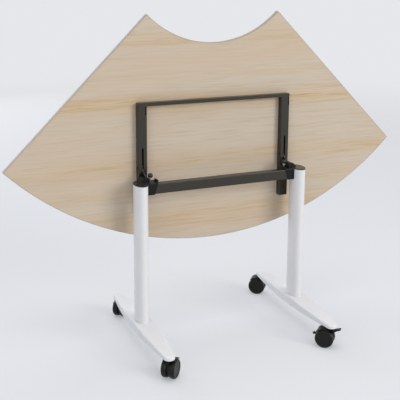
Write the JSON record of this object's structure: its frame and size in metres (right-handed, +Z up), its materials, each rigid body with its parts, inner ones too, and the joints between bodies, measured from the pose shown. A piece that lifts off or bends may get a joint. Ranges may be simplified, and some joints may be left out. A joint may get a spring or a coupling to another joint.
{
  "type": "flip top training table",
  "caption": "Nesting training table on casters with a quarter-ring wood top that flips upright on hinges; release bar between the rails, oval columns, tapered feet.",
  "frame": {"origin": "on the floor, midway between the two columns", "axes": "+X along the crossbeam, +Y from the underside of the upright top to its work surface, +Z up"},
  "size_m": [1.697, 0.665, 1.3032],
  "materials": {
    "board": "pale oak print on melamine, satin",
    "edging": "grey-brown edge band, satin",
    "dark_steel": "dark bronze-grey powder coat",
    "black_steel": "black coated steel",
    "black_casting": "black painted casting, satin",
    "bright_steel": "bright zinc-plated steel",
    "white_tube": "white powder coat, satin",
    "white_casting": "white powder coat on a casting, satin",
    "black_plastic": "black moulded plastic, satin",
    "black_rubber": "black rubber",
    "wheel_plastic": "black wheel plastic, satin"
  },
  "bodies": {
    "frame": {"crossbeam": "dark_steel", "left_column": "white_tube", "left_cap": "black_plastic", "left_foot": "white_casting", "left_bracket": "black_casting", "left_stop_screw": "bright_steel", "left_stop_buffer": "black_rubber", "left_hinge_blade": "black_steel", "left_blade_bolt_1": "bright_steel", "left_blade_bolt_2": "bright_steel", "right_column": "white_tube", "right_cap": "black_plastic", "right_foot": "white_casting", "right_bracket": "black_casting", "right_stop_screw": "bright_steel", "right_stop_buffer": "black_rubber", "right_hinge_blade": "black_steel", "right_blade_bolt_1": "bright_steel", "right_blade_bolt_2": "bright_steel"},
    "top": {"table_top": "board", "edge_band": "edging", "left_rail": "dark_steel", "left_lower_rail_screw": "bright_steel", "left_upper_rail_screw": "bright_steel", "left_hinge_pin": "black_steel", "left_inner_hinge_spacer": "black_plastic", "left_outer_hinge_spacer": "black_plastic", "left_return_spring": "black_steel", "right_rail": "dark_steel", "right_lower_rail_screw": "bright_steel", "right_upper_rail_screw": "bright_steel", "right_hinge_pin": "black_steel", "right_inner_hinge_spacer": "black_plastic", "right_outer_hinge_spacer": "black_plastic", "right_return_spring": "black_steel"},
    "release": {"release_bar": "dark_steel", "left_latch_rod": "black_steel", "right_latch_rod": "black_steel"},
    "left_near_fork": {"left_near_caster_stem": "bright_steel", "left_near_caster_hood": "black_plastic", "left_near_caster_axle": "bright_steel"},
    "left_near_wheel_a": {"left_near_caster_wheel_a": "wheel_plastic"},
    "left_near_wheel_b": {"left_near_caster_wheel_b": "wheel_plastic"},
    "left_far_fork": {"left_far_caster_stem": "bright_steel", "left_far_caster_hood": "black_plastic", "left_far_caster_axle": "bright_steel"},
    "left_far_wheel_a": {"left_far_caster_wheel_a": "wheel_plastic"},
    "left_far_wheel_b": {"left_far_caster_wheel_b": "wheel_plastic"},
    "left_far_lever": {"left_far_caster_brake_lever": "black_plastic"},
    "right_near_fork": {"right_near_caster_stem": "bright_steel", "right_near_caster_hood": "black_plastic", "right_near_caster_axle": "bright_steel"},
    "right_near_wheel_a": {"right_near_caster_wheel_a": "wheel_plastic"},
    "right_near_wheel_b": {"right_near_caster_wheel_b": "wheel_plastic"},
    "right_near_lever": {"right_near_caster_brake_lever": "black_plastic"},
    "right_far_fork": {"right_far_caster_stem": "bright_steel", "right_far_caster_hood": "black_plastic", "right_far_caster_axle": "bright_steel"},
    "right_far_wheel_a": {"right_far_caster_wheel_a": "wheel_plastic"},
    "right_far_wheel_b": {"right_far_caster_wheel_b": "wheel_plastic"}
  },
  "joints": [
    {"name": "top_flip", "type": "hinge", "parent": "frame", "child": "top", "pos_m": [0, 0.072, 0.7113], "axis": [1, 0, 0], "range_deg": [0, 90]},
    {"name": "release_pull", "type": "slide", "parent": "top", "child": "release", "axis": [0, 0, 1], "range_m": [0, 0.008], "stiffness_N_per_m": 1200, "springref_m": -0.01, "deforming": ["left_return_spring", "right_return_spring"]},
    {"name": "left_near_swivel", "type": "hinge", "parent": "frame", "child": "left_near_fork", "pos_m": [-0.344, -0.286, 0.085], "axis": [0, 0, 1], "continuous": true},
    {"name": "left_near_spin_a", "type": "hinge", "parent": "left_near_fork", "child": "left_near_wheel_a", "pos_m": [-0.33011, -0.27161, 0.0375], "axis": [-0.7193, 0.6947, 0], "continuous": true},
    {"name": "left_near_spin_b", "type": "hinge", "parent": "left_near_fork", "child": "left_near_wheel_b", "pos_m": [-0.33011, -0.27161, 0.0375], "axis": [-0.7193, 0.6947, 0], "continuous": true},
    {"name": "left_far_swivel", "type": "hinge", "parent": "frame", "child": "left_far_fork", "pos_m": [-0.344, 0.286, 0.085], "axis": [0, 0, 1], "continuous": true},
    {"name": "left_far_spin_a", "type": "hinge", "parent": "left_far_fork", "child": "left_far_wheel_a", "pos_m": [-0.33011, 0.30039, 0.0375], "axis": [-0.7193, 0.6947, 0], "continuous": true},
    {"name": "left_far_spin_b", "type": "hinge", "parent": "left_far_fork", "child": "left_far_wheel_b", "pos_m": [-0.33011, 0.30039, 0.0375], "axis": [-0.7193, 0.6947, 0], "continuous": true},
    {"name": "left_far_brake", "type": "hinge", "parent": "left_far_fork", "child": "left_far_lever", "pos_m": [-0.35234, 0.27737, 0.068], "axis": [0.7193, -0.6947, 0], "range_deg": [0, 12]},
    {"name": "right_near_swivel", "type": "hinge", "parent": "frame", "child": "right_near_fork", "pos_m": [0.344, -0.286, 0.085], "axis": [0, 0, 1], "continuous": true},
    {"name": "right_near_spin_a", "type": "hinge", "parent": "right_near_fork", "child": "right_near_wheel_a", "pos_m": [0.32961, -0.27211, 0.0375], "axis": [-0.6947, -0.7193, 0], "continuous": true},
    {"name": "right_near_spin_b", "type": "hinge", "parent": "right_near_fork", "child": "right_near_wheel_b", "pos_m": [0.32961, -0.27211, 0.0375], "axis": [-0.6947, -0.7193, 0], "continuous": true},
    {"name": "right_near_brake", "type": "hinge", "parent": "right_near_fork", "child": "right_near_lever", "pos_m": [0.35263, -0.29434, 0.068], "axis": [0.6947, 0.7193, 0], "range_deg": [0, 12]},
    {"name": "right_far_swivel", "type": "hinge", "parent": "frame", "child": "right_far_fork", "pos_m": [0.344, 0.286, 0.085], "axis": [0, 0, 1], "continuous": true},
    {"name": "right_far_spin_a", "type": "hinge", "parent": "right_far_fork", "child": "right_far_wheel_a", "pos_m": [0.32868, 0.29886, 0.0375], "axis": [-0.6428, -0.766, 0], "continuous": true},
    {"name": "right_far_spin_b", "type": "hinge", "parent": "right_far_fork", "child": "right_far_wheel_b", "pos_m": [0.32868, 0.29886, 0.0375], "axis": [-0.6428, -0.766, 0], "continuous": true}
  ]
}
